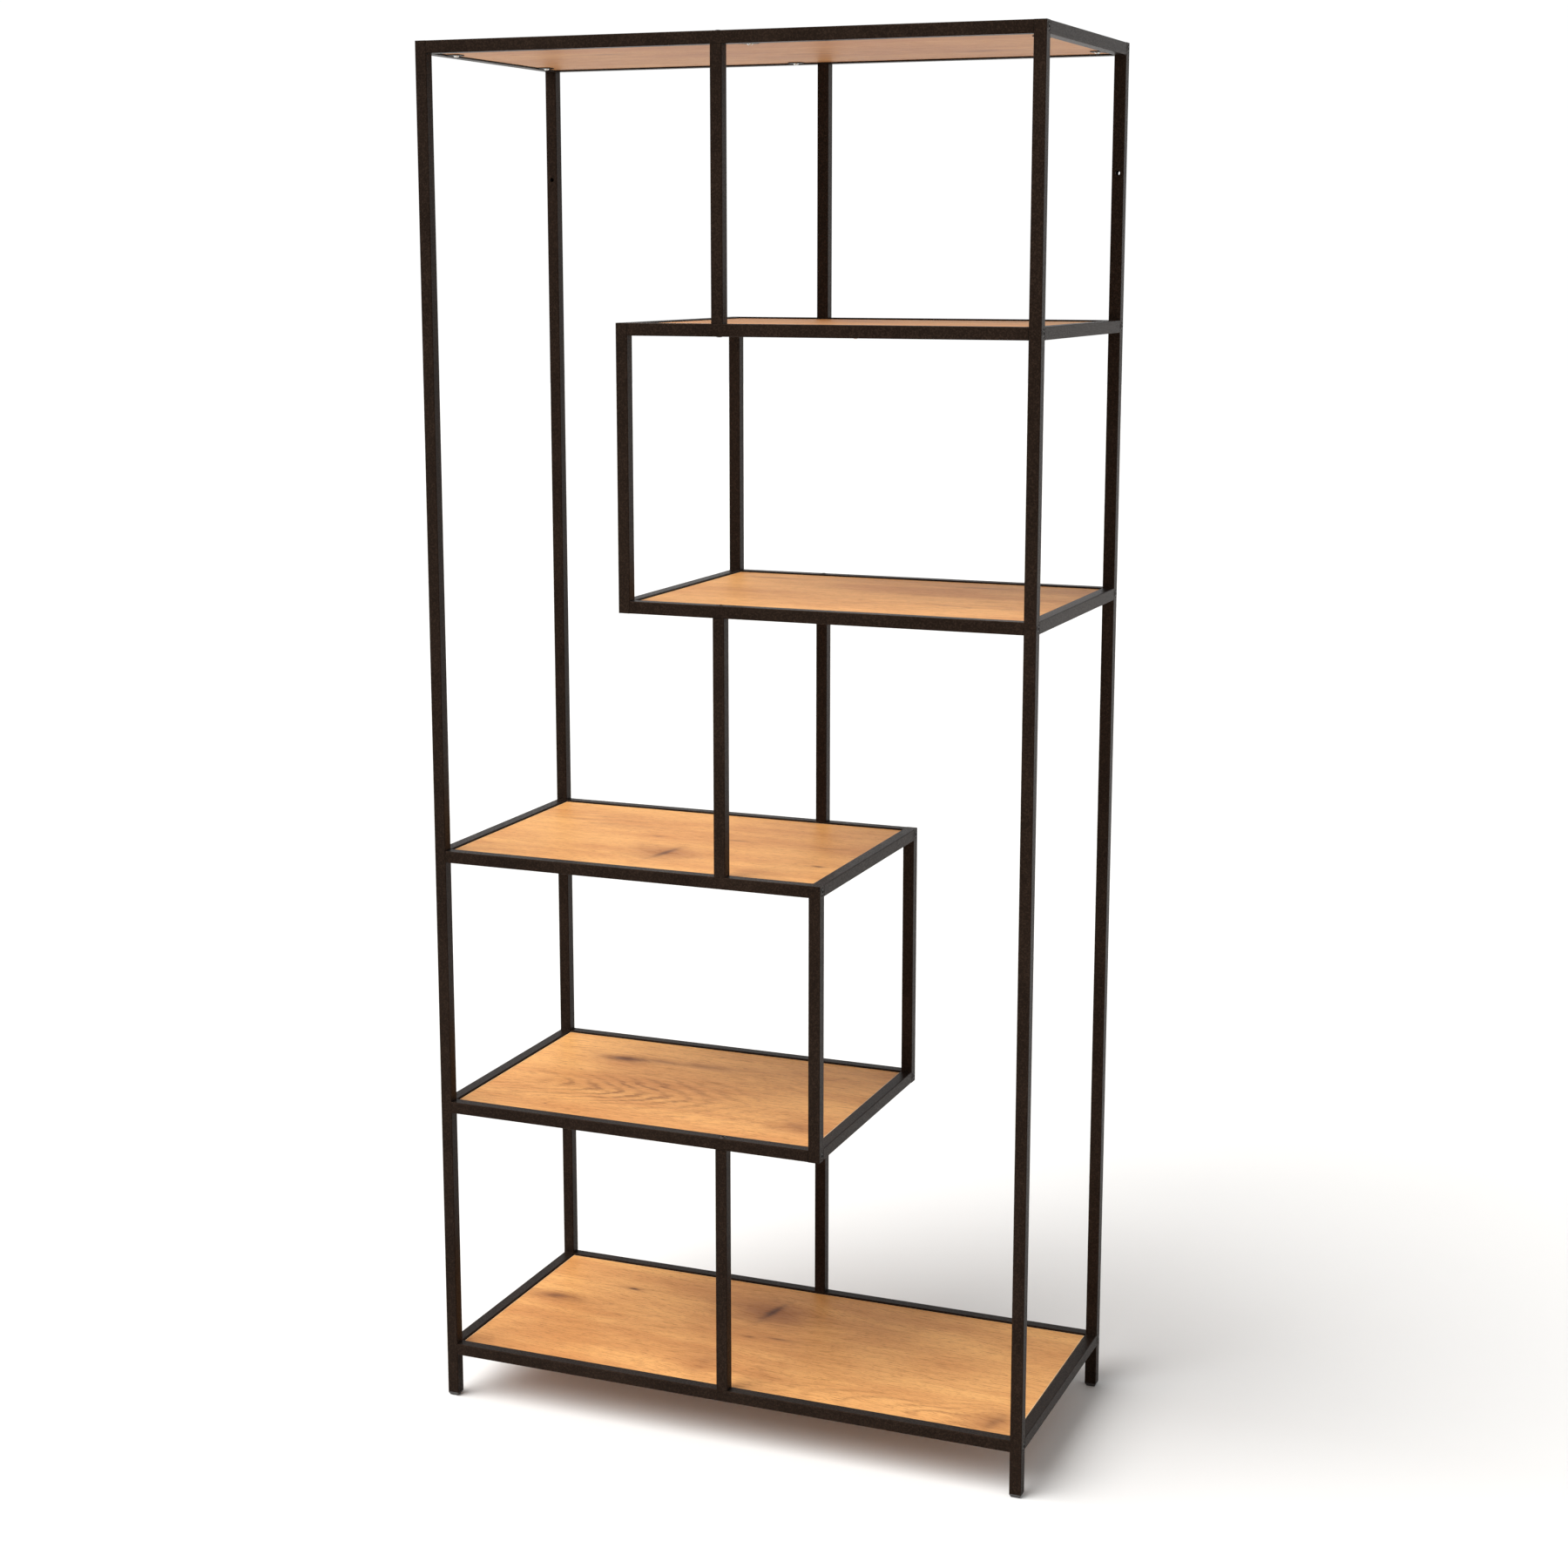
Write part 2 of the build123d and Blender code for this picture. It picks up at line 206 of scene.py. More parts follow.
def tab_spots(level):
    """Middle of each tab's welded edge, and its direction into the frame, on the board's underside."""
    sizes = bpy.context.scene.bookcase_sizes
    low, high = level_opening(level)
    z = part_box(f"board_{level}")[0].z
    middle = (low.x + high.x) / 2
    near, far = low.y - TUBE + sizes.tab_inset, high.y + TUBE - sizes.tab_inset
    return [
        (Vector((low.x, near, z)), Vector((1, 0, 0))),
        (Vector((low.x, far, z)), Vector((1, 0, 0))),
        (Vector((high.x, near, z)), Vector((-1, 0, 0))),
        (Vector((high.x, far, z)), Vector((-1, 0, 0))),
        (Vector((middle + sizes.tab_offset, low.y, z)), Vector((0, 1, 0))),
        (Vector((middle - sizes.tab_offset, high.y, z)), Vector((0, -1, 0))),
    ]


# ------------------------------------------------------------------ node graph helper
class Graph:
    """Short calls for the nodes of one tree."""

    def __init__(self, tree):
        self.tree = tree

    def node(self, kind, settings=None, inputs=None):
        made = self.tree.nodes.new(kind)
        for name, value in (settings or {}).items():
            setattr(made, name, value)
        for key, value in (inputs or {}).items():
            self.feed(made.inputs[key], value)
        return made

    def feed(self, socket, value):
        if isinstance(value, bpy.types.NodeSocket):
            self.tree.links.new(value, socket)
        else:
            socket.default_value = value

    def math(self, operation, *values):
        made = self.tree.nodes.new("ShaderNodeMath")
        made.operation = operation
        for socket, value in zip(made.inputs, values):
            self.feed(socket, value)
        return made.outputs[0]

    def vector(self, x, y, z):
        return self.node("ShaderNodeCombineXYZ", inputs={"X": x, "Y": y, "Z": z}).outputs[0]

    def noise(self, vector, scale, detail=2.0, roughness=0.5):
        inputs = {"Vector": vector, "Scale": scale, "Detail": detail, "Roughness": roughness}
        return self.node("ShaderNodeTexNoise", inputs=inputs).outputs["Fac"]

    def ramp(self, value, low, high, out_low=0.0, out_high=1.0):
        """The value smoothly mapped from low..high to out_low..out_high."""
        inputs = {"Value": value, "From Min": low, "From Max": high, "To Min": out_low, "To Max": out_high}
        made = self.node("ShaderNodeMapRange", {"interpolation_type": "SMOOTHSTEP"}, inputs)
        return made.outputs["Result"]

    def mix(self, factor, first, second):
        made = self.node("ShaderNodeMix", {"data_type": "RGBA"})
        self.feed(made.inputs["Factor"], factor)
        for socket, colour in ((made.inputs[6], first), (made.inputs[7], second)):
            self.feed(socket, colour if isinstance(colour, bpy.types.NodeSocket) else (*colour, 1.0))
        return made.outputs[2]


def new_material(name):
    """An empty material with its graph, its shader and the object coordinates."""
    material = bpy.data.materials.new(name)
    material.use_nodes = True
    graph = Graph(material.node_tree)
    shader = material.node_tree.nodes["Principled BSDF"]
    coords = graph.node("ShaderNodeTexCoord").outputs["Object"]
    return material, graph, shader, coords


def add_bump(graph, shader, height, strength, distance):
    inputs = {"Height": height, "Strength": strength, "Distance": distance}
    graph.feed(shader.inputs["Normal"], graph.node("ShaderNodeBump", inputs=inputs).outputs["Normal"])


# ------------------------------------------------------------------ finishes
# Noise cells per metre.
COAT_FINE_GRAIN = 1500.0
COAT_COARSE_GRAIN = 560.0
COAT_CLOUDS = 18.0
EDGING_FIBRE = (14.0, 14.0, 900.0)
PLASTIC_TEXTURE = 1300.0
PLASTIC_SCUFFS = 260.0
METAL_GRAIN_TO_CLOUDS = 12
COAT_GLOSS = 0.07
OAK_GLOSS = 0.22


def coat_material():
    """Fine textured powder coat: two sizes of grain in roughness and bump, and a lighter speckle in colour
    that is partly the coat's grain and partly painted glints.
    """
    colours = bpy.context.scene.bookcase_colours
    material, graph, shader, coords = new_material("powder_coat")
    fine = graph.noise(coords, COAT_FINE_GRAIN, 2.0, 0.6)
    coarse = graph.noise(coords, COAT_COARSE_GRAIN, 3.0, 0.6)
    cloud = graph.noise(coords, COAT_CLOUDS, 2.0)
    # The lighter speckle in the colour is partly the coat's grain and partly painted glints of its texture.
    coarse_speckle = graph.ramp(coarse, 0.42, 0.70, 0.0, 0.60)
    fine_speckle = graph.ramp(fine, 0.48, 0.74, 0.0, 0.40)
    speckle = graph.math("ADD", coarse_speckle, fine_speckle)
    tone = graph.math("ADD", speckle, graph.ramp(cloud, 0.3, 0.7, -0.06, 0.08))
    graph.feed(shader.inputs["Base Color"], graph.mix(tone, colours.coat, colours.coat_grain_and_glints))
    graph.feed(shader.inputs["Roughness"], graph.ramp(coarse, 0.35, 0.65, 0.46, 0.34))
    shader.inputs["Specular IOR Level"].default_value = COAT_GLOSS
    shader.inputs["Specular Tint"].default_value = (*colours.coat_sheen, 1.0)
    height = graph.math("ADD", graph.math("MULTIPLY", fine, 0.5), coarse)
    add_bump(graph, shader, height, 0.45, 0.00025)
    return material


# A knot: its place on the board in metres, the half length, half width, turn in degrees and depth of its
# core, the half length and half width of the stain round it, the stain's depth, and how far it spreads the
# grain.
Knot = namedtuple("Knot", "x y length width turn core reach_x reach_y halo spread")
BOARD_KNOTS = {
    "bottom": (
        Knot(-0.037, 0.083, 0.032, 0.0070, 78, 0.90, 0.075, 0.046, 0.85, 0.70),
        Knot(-0.259, 0.087, 0.0085, 0.0030, 5, 0.95, 0.026, 0.008, 0.45, 0.50),
        Knot(-0.354, 0.023, 0.020, 0.0065, 10, 0.50, 0.052, 0.019, 0.80, 0.50),
        Knot(-0.034, -0.008, 0.007, 0.0025, 0, 0.55, 0.020, 0.006, 0.35, 0.40),
        Knot(0.005, -0.002, 0.013, 0.0028, 0, 0.55, 0.050, 0.007, 0.40, 0.40),
        Knot(0.368, -0.141, 0.028, 0.0090, 74, 0.40, 0.045, 0.034, 0.70, 0.50),
        Knot(-0.060, -0.110, 0.030, 0.0080, 90, 0.10, 0.040, 0.045, 0.35, 0.30),
    ),
    "lower_box_floor": (
        Knot(-0.268, 0.085, 0.025, 0.0080, 4, 0.80, 0.055, 0.018, 0.90, 0.60),
        Knot(-0.213, 0.091, 0.030, 0.0040, -8, 0.20, 0.050, 0.013, 0.65, 0.30),
        Knot(-0.147, 0.092, 0.030, 0.0040, 0, 0.15, 0.055, 0.014, 0.60, 0.20),
        Knot(-0.285, -0.140, 0.0022, 0.0014, 20, 0.85, 0.005, 0.003, 0.30, 0.20),
        Knot(0.076, -0.104, 0.026, 0.0080, -30, 0.25, 0.045, 0.028, 0.50, 0.50),
    ),
    "lower_box_top": (
        Knot(-0.128, -0.077, 0.032, 0.0060, 80, 0.80, 0.055, 0.042, 0.70, 0.60),
        Knot(-0.180, 0.011, 0.0070, 0.0025, 0, 0.45, 0.016, 0.006, 0.35, 0.30),
        Knot(-0.066, 0.026, 0.014, 0.0022, 0, 0.50, 0.030, 0.006, 0.35, 0.30),
        Knot(0.094, -0.077, 0.0058, 0.0026, -8, 0.90, 0.016, 0.007, 0.50, 0.50),
        Knot(0.072, 0.027, 0.028, 0.0010, 8, 0.35, 0.040, 0.003, 0.25, 0.20),
    ),
    "upper_box_floor": (
        Knot(-0.054, 0.128, 0.030, 0.0030, -2, 0.35, 0.050, 0.008, 0.40, 0.30),
        Knot(0.252, 0.124, 0.034, 0.0030, 2, 0.30, 0.050, 0.008, 0.40, 0.30),
    ),
    "upper_box_top": (Knot(0.120, 0.040, 0.016, 0.0050, 8, 0.70, 0.040, 0.014, 0.50, 0.60),),
    "top": (
        Knot(-0.210, -0.060, 0.020, 0.0050, 5, 0.45, 0.045, 0.014, 0.40, 0.50),
        Knot(0.260, 0.070, 0.016, 0.0050, -6, 0.55, 0.040, 0.014, 0.40, 0.50),
    ),
}
# The log a board was cut from: its heart, the heart's rise along the board, the slant of the lines, the
# rings per metre and their strength, and the middle and half size of the patch where they show as flames.
Log = namedtuple("Log", "heart_x heart_y rise slant rings strength flame_x flame_y reach_x reach_y")
BOARD_LOGS = {
    "bottom": Log(0.46, -0.160, -0.22, 0.06, 100.0, 0.60, 0.250, -0.150, 0.170, 0.050),
    "lower_box_floor": Log(-0.42, -0.048, 0.28, 0.00, 100.0, 0.95, -0.205, -0.050, 0.150, 0.062),
    "lower_box_top": Log(0.30, 0.050, -0.06, 0.02, 105.0, 0.40, -0.300, 0.080, 0.120, 0.050),
    "upper_box_floor": Log(-0.05, -0.080, 0.07, -0.03, 110.0, 0.50, 0.200, -0.060, 0.160, 0.050),
    "upper_box_top": Log(0.20, 0.020, 0.12, 0.03, 110.0, 0.60, 0.000, -0.040, 0.180, 0.060),
    "top": Log(-0.10, 0.030, 0.10, -0.02, 105.0, 0.60, 0.050, 0.030, 0.220, 0.060),
}
# How deep a log's heart lies under its board and how far a grain line strays, both in metres, and the
# distance between two boards' slices of the noise.
HEART_DEPTH = 0.018
GRAIN_WANDER = 0.040
BOARD_NOISE_STEP = 3.7


def oak_material(level):
    """Wild-oak decor of one board: log rings cut flat, fibres, pores and knots, grain along X."""
    colours = bpy.context.scene.bookcase_colours
    material, graph, shader, coords = new_material(f"oak_{level}")
    log = BOARD_LOGS[level]
    place = graph.node("ShaderNodeSeparateXYZ", inputs={"Vector": coords})
    x, y = place.outputs["X"], place.outputs["Y"]
    flat = graph.vector(x, y, 0.0)
    board_slice = BOARD_NOISE_STEP * (LEVELS.index(level) + 1)

    def grain_noise(across, cells_along, cells_across, detail=2.0, roughness=0.5):
        """Noise drawn out along the board, with its own cells per metre along and across."""
        along_part = graph.math("MULTIPLY", x, cells_along)
        across_part = graph.math("MULTIPLY", across, cells_across)
        return graph.noise(graph.vector(along_part, across_part, board_slice), 1.0, detail, roughness)

    def bell(middle_x, middle_y, turned, length, width, sharpness):
        """One at the middle, falling to nothing over the ellipse, and times the sharpness faster."""
        inputs = {
            "Vector": flat,
            "Location": (middle_x, middle_y, 0.0),
            "Rotation": (0.0, 0.0, math.radians(turned)),
            "Scale": (length, width, 1.0),
        }
        local = graph.node("ShaderNodeMapping", {"vector_type": "TEXTURE"}, inputs).outputs[0]
        squared = graph.node("ShaderNodeVectorMath", {"operation": "DOT_PRODUCT"}, {0: local, 1: local})
        far = graph.math("MULTIPLY", squared.outputs["Value"], sharpness)
        return graph.math("POWER", math.e, graph.math("MULTIPLY", far, -1.0))

    # The grain line through a point wanders, slants, and opens round each knot.
    ragged = graph.ramp(grain_noise(y, 60.0, 240.0, 4.0, 0.6), 0.25, 0.75, 0.4, 2.0)
    uneven = graph.ramp(grain_noise(y, 14.0, 40.0, 3.0, 0.6), 0.25, 0.75, 0.6, 1.8)
    wander = graph.math("SUBTRACT", grain_noise(y, 2.4, 8.0, 3.0, 0.55), 0.5)
    line = graph.math("ADD", y, graph.math("MULTIPLY", x, log.slant))
    line = graph.math("ADD", line, graph.math("MULTIPLY", wander, GRAIN_WANDER))
    core, halo = 0.0, 0.0
    for knot in BOARD_KNOTS[level]:
        near_core = bell(knot.x, knot.y, knot.turn, knot.length, knot.width, ragged)
        near_halo = bell(knot.x, knot.y, 0.0, knot.reach_x, knot.reach_y, uneven)
        core = graph.math("MAXIMUM", core, graph.math("MULTIPLY", near_core, knot.core))
        halo = graph.math("MAXIMUM", halo, graph.math("MULTIPLY", near_halo, knot.halo))
        push = bell(knot.x, knot.y, 0.0, knot.reach_x * 1.2, knot.reach_y * 1.4, 1.0)
        pushed = graph.math("MULTIPLY", graph.math("SUBTRACT", y, knot.y), push)
        pull = graph.math("MULTIPLY", pushed, -knot.spread)
        line = graph.math("ADD", line, pull)

    # Growth rings of a log whose heart rises through the board.
    risen = graph.math("MULTIPLY", graph.math("SUBTRACT", x, log.heart_x), log.rise)
    depth = graph.math("ADD", HEART_DEPTH, risen)
    off_heart = graph.math("SUBTRACT", line, log.heart_y)
    squares = graph.math("ADD", graph.math("POWER", off_heart, 2.0), graph.math("POWER", depth, 2.0))
    jitter = grain_noise(y, 26.0, 80.0, 4.0, 0.65)
    drift = grain_noise(y, 6.0, 14.0, 2.0)
    phase = graph.math("MULTIPLY", graph.math("SQRT", squares), log.rings)
    phase = graph.math("ADD", phase, graph.math("MULTIPLY", jitter, 1.2))
    phase = graph.math("ADD", phase, graph.math("MULTIPLY", drift, 2.5))
    wave = graph.math("SINE", graph.math("MULTIPLY", phase, 2 * math.pi))
    dashes = graph.ramp(grain_noise(line, 60.0, 620.0, 3.0, 0.65), 0.36, 0.60, 0.25, 1.0)
    patches = graph.ramp(grain_noise(line, 7.0, 22.0), 0.36, 0.60, 0.25, 1.0)
    flame = bell(log.flame_x, log.flame_y, 0.0, log.reach_x, log.reach_y, uneven)
    flame = graph.math("ADD", graph.math("MULTIPLY", flame, 0.85), 0.15)
    show = graph.math("MULTIPLY", graph.math("MULTIPLY", flame, patches), log.strength)
    ring = graph.math("MULTIPLY", graph.ramp(wave, 0.1, 1.0), graph.math("MULTIPLY", dashes, show))
    soft_ring = graph.math("MULTIPLY", graph.ramp(wave, -1.0, 1.0), show)

    # Tone bands, fibres and pores follow the line.
    band = grain_noise(line, 2.6, 34.0, 2.5, 0.55)
    cloud = grain_noise(y, 5.0, 11.0, 3.0)
    fibre = grain_noise(line, 38.0, 700.0, 3.0, 0.7)
    pore = graph.ramp(grain_noise(line, 110.0, 1000.0, 1.0), 0.58, 0.70)
    band_tone = graph.ramp(band, 0.28, 0.72, 0.0, 0.60)
    cloud_tone = graph.ramp(cloud, 0.32, 0.68, -0.15, 0.55)
    tone = graph.math("ADD", band_tone, cloud_tone)
    colour = graph.mix(tone, colours.oak_pale, colours.oak_honey)
    lines = graph.math("ADD", graph.math("MULTIPLY", ring, 0.72), graph.math("MULTIPLY", soft_ring, 0.24))
    lines = graph.math("ADD", lines, graph.ramp(fibre, 0.48, 0.74, 0.0, 0.58))
    lines = graph.math("ADD", lines, graph.math("MULTIPLY", pore, 0.42))
    colour = graph.mix(lines, colour, colours.oak_line)
    colour = graph.mix(graph.math("MINIMUM", halo, 0.92), colour, colours.oak_halo)
    colour = graph.mix(core, colour, colours.oak_knot)
    # Painted shade: faces that look down are pulled up to 45 % towards a darker brown, standing in for the
    # shade under a board.
    facing = graph.node("ShaderNodeNewGeometry").outputs["True Normal"]
    upward = graph.node("ShaderNodeSeparateXYZ", inputs={"Vector": facing}).outputs["Z"]
    colour = graph.mix(graph.ramp(upward, -1.0, 0.0, 0.45, 0.0), colour, colours.oak_underside_shade)
    graph.feed(shader.inputs["Base Color"], colour)
    graph.feed(shader.inputs["Roughness"], graph.ramp(fibre, 0.3, 0.8, 0.46, 0.60))
    shader.inputs["Specular IOR Level"].default_value = OAK_GLOSS
    height = graph.math("SUBTRACT", graph.math("MULTIPLY", fibre, 0.35), graph.math("MULTIPLY", pore, 0.65))
    add_bump(graph, shader, height, 0.25, 0.00015)
    return material


def edging_material():
    """Oak-tone edging strip with fibres along the board's edge."""
    colours = bpy.context.scene.bookcase_colours
    material, graph, shader, coords = new_material("board_edging")
    stretched = graph.node("ShaderNodeMapping", inputs={"Vector": coords, "Scale": EDGING_FIBRE})
    fibre = graph.noise(stretched.outputs[0], 1.0, 3.0, 0.6)
    colour = graph.mix(graph.ramp(fibre, 0.35, 0.75, 0.0, 0.45), colours.edging, colours.oak_honey)
    graph.feed(shader.inputs["Base Color"], colour)
    graph.feed(shader.inputs["Roughness"], graph.ramp(fibre, 0.3, 0.7, 0.36, 0.48))
    add_bump(graph, shader, fibre, 0.15, 0.0001)
    return material


def metal_material(name, colour, wear, metallic, roughness, grain):
    """Metal with a fine grain; wear is how much brighter its worn patches are, roughness its two ends."""
    material, graph, shader, coords = new_material(name)
    worn = tuple(channel * wear for channel in colour)
    fine = graph.noise(coords, grain, 3.0, 0.6)
    cloud = graph.noise(coords, grain / METAL_GRAIN_TO_CLOUDS, 2.0)
    graph.feed(shader.inputs["Base Color"], graph.mix(graph.ramp(cloud, 0.35, 0.75), tuple(colour), worn))
    graph.feed(shader.inputs["Roughness"], graph.ramp(fine, 0.3, 0.7, *roughness))
    shader.inputs["Metallic"].default_value = metallic
    add_bump(graph, shader, fine, 0.12, 0.0001)
    return material


def plastic_material():
    """Moulded plastic with a fine spark-eroded texture and lighter scuffs."""
    colours = bpy.context.scene.bookcase_colours
    material, graph, shader, coords = new_material("glide_plastic")
    texture = graph.noise(coords, PLASTIC_TEXTURE, 2.0)
    scuff = graph.noise(coords, PLASTIC_SCUFFS, 4.0, 0.7)
    lighter = tuple(min(1.0, channel * 2.6 + 0.01) for channel in colours.plastic)
    scuffed = graph.ramp(scuff, 0.5, 0.8, 0.0, 0.6)
    graph.feed(shader.inputs["Base Color"], graph.mix(scuffed, colours.plastic, lighter))
    graph.feed(shader.inputs["Roughness"], graph.ramp(scuff, 0.3, 0.8, 0.38, 0.62))
    add_bump(graph, shader, texture, 0.25, 0.00015)
    return material


FINISHES = {}


def make_finishes():
    colours = bpy.context.scene.bookcase_colours
    FINISHES["coat"] = coat_material()
    FINISHES["edging"] = edging_material()
    FINISHES["plastic"] = plastic_material()
    FINISHES["bolt"] = metal_material("black_oxide", colours.black_oxide, 1.6, 0.35, (0.32, 0.5), 900.0)
    FINISHES["zinc"] = metal_material("bright_zinc", colours.zinc, 0.8, 1.0, (0.16, 0.34), 700.0)
    FINISHES["steel"] = metal_material("plain_steel", colours.steel, 0.7, 1.0, (0.3, 0.5), 500.0)
    for level in LEVELS:
        FINISHES[f"oak_{level}"] = oak_material(level)


def dress(node, finish):
    """The CAD node keeps its shape and takes the finish."""
    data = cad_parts[node].data
    data.materials.clear()
    data.materials.append(FINISHES[finish])


# ------------------------------------------------------------------ geometry nodes helpers
def new_geometry_tree(name, sizes):
    """A tree that takes the carrier's geometry and named sizes, and gives geometry."""
    tree = bpy.data.node_groups.new(name, "GeometryNodeTree")
    tree.interface.new_socket("Geometry", in_out="INPUT", socket_type="NodeSocketGeometry")
    tree.interface.new_socket("Geometry", in_out="OUTPUT", socket_type="NodeSocketGeometry")
    for label in sizes:
        socket = tree.interface.new_socket(label, in_out="INPUT", socket_type="NodeSocketFloat")
        socket.subtype = "DISTANCE"
    tree.interface.new_socket("Finish", in_out="INPUT", socket_type="NodeSocketMaterial")
    graph = Graph(tree)
    given = graph.node("NodeGroupInput").outputs
    return tree, graph, given


def end_geometry_tree(graph, given, instances, smooth_angle=30.0):
    """Realize, shade smooth up to the angle, set the material and give the result out."""
    real = graph.node("GeometryNodeRealizeInstances", inputs={"Geometry": instances}).outputs[0]
    angle = graph.node("GeometryNodeInputMeshEdgeAngle").outputs["Unsigned Angle"]
    soft = graph.node("FunctionNodeCompare", {"data_type": "FLOAT", "operation": "LESS_THAN"})
    graph.feed(soft.inputs[0], angle)
    graph.feed(soft.inputs[1], math.radians(smooth_angle))
    faces = graph.node(
        "GeometryNodeSetShadeSmooth", {"domain": "FACE"}, {"Geometry": real, "Shade Smooth": True}
    )
    edges = graph.node("GeometryNodeSetShadeSmooth", {"domain": "EDGE"}, {"Geometry": faces.outputs[0]})
    graph.feed(edges.inputs["Shade Smooth"], soft.outputs[0])
    finish = graph.node(
        "GeometryNodeSetMaterial", inputs={"Geometry": edges.outputs[0], "Material": given["Finish"]}
    )
    graph.node("NodeGroupOutput", inputs={0: finish.outputs[0]})


def place_on_spots(graph, given, piece):
    """The piece at each carrier vertex, its Z axis along the vertex's outward direction."""
    attribute = graph.node(
        "GeometryNodeInputNamedAttribute", {"data_type": "FLOAT_VECTOR"}, {"Name": "outward"}
    )
    outward = attribute.outputs["Attribute"]
    turn = graph.node("FunctionNodeAlignRotationToVector", {"axis": "Z"}, {"Vector": outward})
    placed = graph.node(
        "GeometryNodeInstanceOnPoints",
        inputs={"Points": given["Geometry"], "Instance": piece, "Rotation": turn.outputs[0]},
    )
    return placed.outputs["Instances"]


# A head's dome: the sides of its circle, the rings in its top, how late the top falls, and by how much of
# its height.
HEAD_SIDES = 40
HEAD_RINGS = 6
DOME_POWER = 3.5
DOME_FALL = 0.8


def domed_head(graph, radius, above, below):
    """A round head from -below to +above, its top pulled down to the rim as a dome."""
    height = graph.math("ADD", above, below)
    blank = graph.node(
        "GeometryNodeMeshCylinder",
        inputs={
            "Vertices": HEAD_SIDES,
            "Side Segments": 1,
            "Fill Segments": HEAD_RINGS,
            "Radius": radius,
            "Depth": height,
        },
    )
    position = graph.node("GeometryNodeInputPosition").outputs[0]
    place = graph.node("ShaderNodeSeparateXYZ", inputs={"Vector": position})
    x_squared = graph.math("POWER", place.outputs["X"], 2.0)
    y_squared = graph.math("POWER", place.outputs["Y"], 2.0)
    from_axis = graph.math("SQRT", graph.math("ADD", x_squared, y_squared))
    fall = graph.math("POWER", graph.math("DIVIDE", from_axis, radius), DOME_POWER)
    on_top = graph.math("GREATER_THAN", place.outputs["Z"], 0.0)
    top_fall = graph.math("MULTIPLY", on_top, -DOME_FALL)
    drop = graph.math("MULTIPLY", graph.math("MULTIPLY", fall, height), top_fall)
    lift = graph.math("SUBTRACT", above, graph.math("MULTIPLY", height, 0.5))
    offset = graph.vector(0.0, 0.0, graph.math("ADD", drop, lift))
    inputs = {"Geometry": blank.outputs["Mesh"], "Offset": offset}
    return graph.node("GeometryNodeSetPosition", inputs=inputs).outputs[0]


def cut(graph, solid, cutter):
    made = graph.node("GeometryNodeMeshBoolean", {"operation": "DIFFERENCE", "solver": "EXACT"})
    graph.feed(made.inputs["Mesh 1"], solid)
    graph.feed(made.inputs["Mesh 2"], cutter)
    return made.outputs["Mesh"]


def bolt_tree():
    """Button head with a hexagon socket."""
    labels = ("Head Diameter", "Head Proud", "Head Sunk", "Socket", "Socket Depth")
    tree, graph, given = new_geometry_tree("button_head_bolts", labels)
    radius = graph.math("MULTIPLY", given["Head Diameter"], 0.5)
    head = domed_head(graph, radius, given["Head Proud"], given["Head Sunk"])
    socket = graph.node(
        "GeometryNodeMeshCylinder",
        inputs={
            "Vertices": 6,
            "Radius": graph.math("DIVIDE", given["Socket"], 2 * math.cos(math.radians(30))),
            "Depth": graph.math("MULTIPLY", given["Socket Depth"], 2.0),
        },
    )
    raised = graph.node("GeometryNodeTransform", inputs={"Geometry": socket.outputs["Mesh"]})
    graph.feed(raised.inputs["Translation"], graph.vector(0.0, 0.0, given["Head Proud"]))
    end_geometry_tree(graph, given, place_on_spots(graph, given, cut(graph, head, raised.outputs[0])))
    return tree


def screw_tree():
    """Pan head with a cross recess."""
    labels = ("Head Diameter", "Head Height", "Recess", "Recess Width", "Recess Depth")
    tree, graph, given = new_geometry_tree("pan_head_screws", labels)
    radius = graph.math("MULTIPLY", given["Head Diameter"], 0.5)
    head = domed_head(graph, radius, given["Head Height"], 0.0)
    depth = graph.math("MULTIPLY", given["Recess Depth"], 2.0)
    for size in (
        graph.vector(given["Recess"], given["Recess Width"], depth),
        graph.vector(given["Recess Width"], given["Recess"], depth),
    ):
        arm = graph.node("GeometryNodeMeshCube", inputs={"Size": size})
        raised = graph.node("GeometryNodeTransform", inputs={"Geometry": arm.outputs["Mesh"]})
        graph.feed(raised.inputs["Translation"], graph.vector(0.0, 0.0, given["Head Height"]))
        head = cut(graph, head, raised.outputs[0])
    end_geometry_tree(graph, given, place_on_spots(graph, given, head))
    return tree


# The smallest and largest ripple, as a share of the bead, and the draw that mixes them.
RIPPLE_LEAST = 0.72
RIPPLE_MOST = 1.0
RIPPLE_SEED = 7


def weld_tree():
    """Rippled fillet beads along the carrier's edges."""
    tree, graph, given = new_geometry_tree("weld_beads", ("Bead Radius", "Ripple"))
    seams = graph.node("GeometryNodeMeshToCurve", inputs={"Mesh": given["Geometry"]})
    spaced = graph.node(
        "GeometryNodeResampleCurve",
        {"mode": "LENGTH"},
        {"Curve": seams.outputs[0], "Length": given["Ripple"]},
    )
    ripple = graph.node(
        "GeometryNodeMeshIcoSphere", inputs={"Radius": given["Bead Radius"], "Subdivisions": 2}
    )
    swell = graph.node("FunctionNodeRandomValue", {"data_type": "FLOAT"})
    least, most = [socket for socket in swell.inputs if socket.type == "VALUE" and socket.enabled][:2]
    least.default_value = RIPPLE_LEAST
    most.default_value = RIPPLE_MOST
    swell.inputs["Seed"].default_value = RIPPLE_SEED
    swell_out = next(socket for socket in swell.outputs if socket.enabled)
    size = graph.vector(swell_out, swell_out, swell_out)
    placed = graph.node(
        "GeometryNodeInstanceOnPoints",
        inputs={"Points": spaced.outputs[0], "Instance": ripple.outputs["Mesh"], "Scale": size},
    )
    end_geometry_tree(graph, given, placed.outputs["Instances"], 75.0)
    return tree


